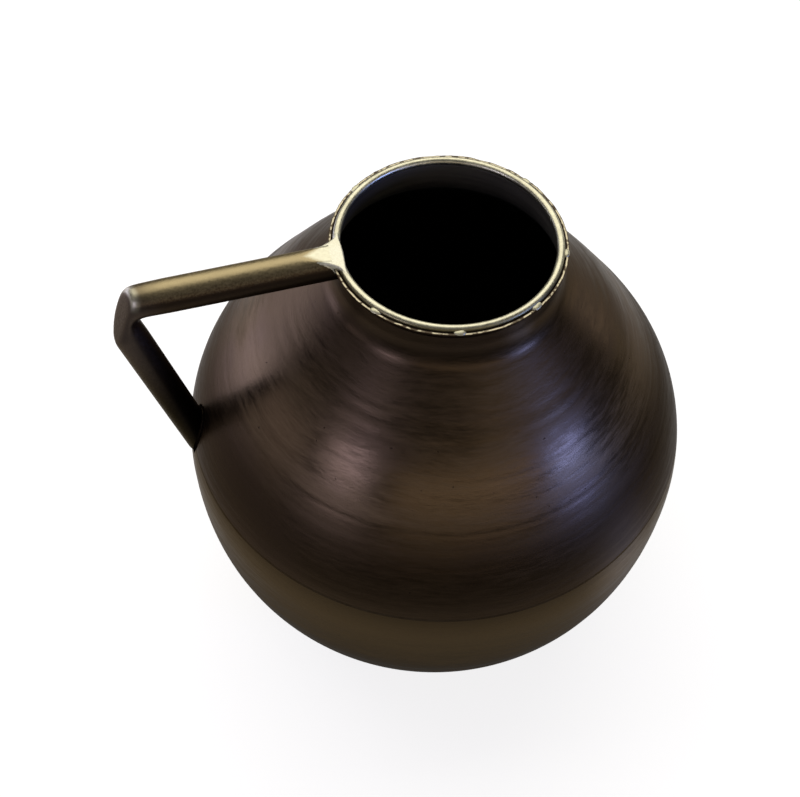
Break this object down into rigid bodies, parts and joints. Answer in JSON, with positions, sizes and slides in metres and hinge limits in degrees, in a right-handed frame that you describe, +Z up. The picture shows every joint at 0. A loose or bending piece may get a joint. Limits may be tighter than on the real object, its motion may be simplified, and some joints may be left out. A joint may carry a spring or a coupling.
{
  "type": "jug vase",
  "caption": "Round-bellied spun brass jug vase with a dark patina, a bright wired lip and an angular bar handle brazed from the rim to the belly.",
  "frame": {"origin": "centre of the flat bottom, on the floor", "axes": "+Z up along the axis of the belly and neck, -X towards the handle, -Y towards the front in the picture"},
  "size_m": [0.2181, 0.2, 0.1991],
  "materials": {
    "patinated_brass": "dark brown patina under satin lacquer, spun rings",
    "aged_brass_bar": "aged brass, brown in the hollows and gold on top",
    "polished_brass_wire": "pale polished brass",
    "filed_brass": "bright hand-filed brass",
    "grey_solder": "darkened solder line"
  },
  "bodies": {
    "root": {"lower_shell": "patinated_brass", "upper_shell": "patinated_brass", "seam_solder": "grey_solder", "rim_wire": "polished_brass_wire", "handle_top_arm": "aged_brass_bar", "handle_lower_arm": "aged_brass_bar", "elbow_braze": "aged_brass_bar", "foot_braze": "patinated_brass", "rim_braze": "filed_brass", "rim_tack_1": "filed_brass", "rim_tack_2": "filed_brass", "rim_tack_3": "filed_brass", "rim_tack_4": "filed_brass", "rim_tack_5": "filed_brass", "rim_tack_6": "filed_brass"}
  },
  "joints": []
}
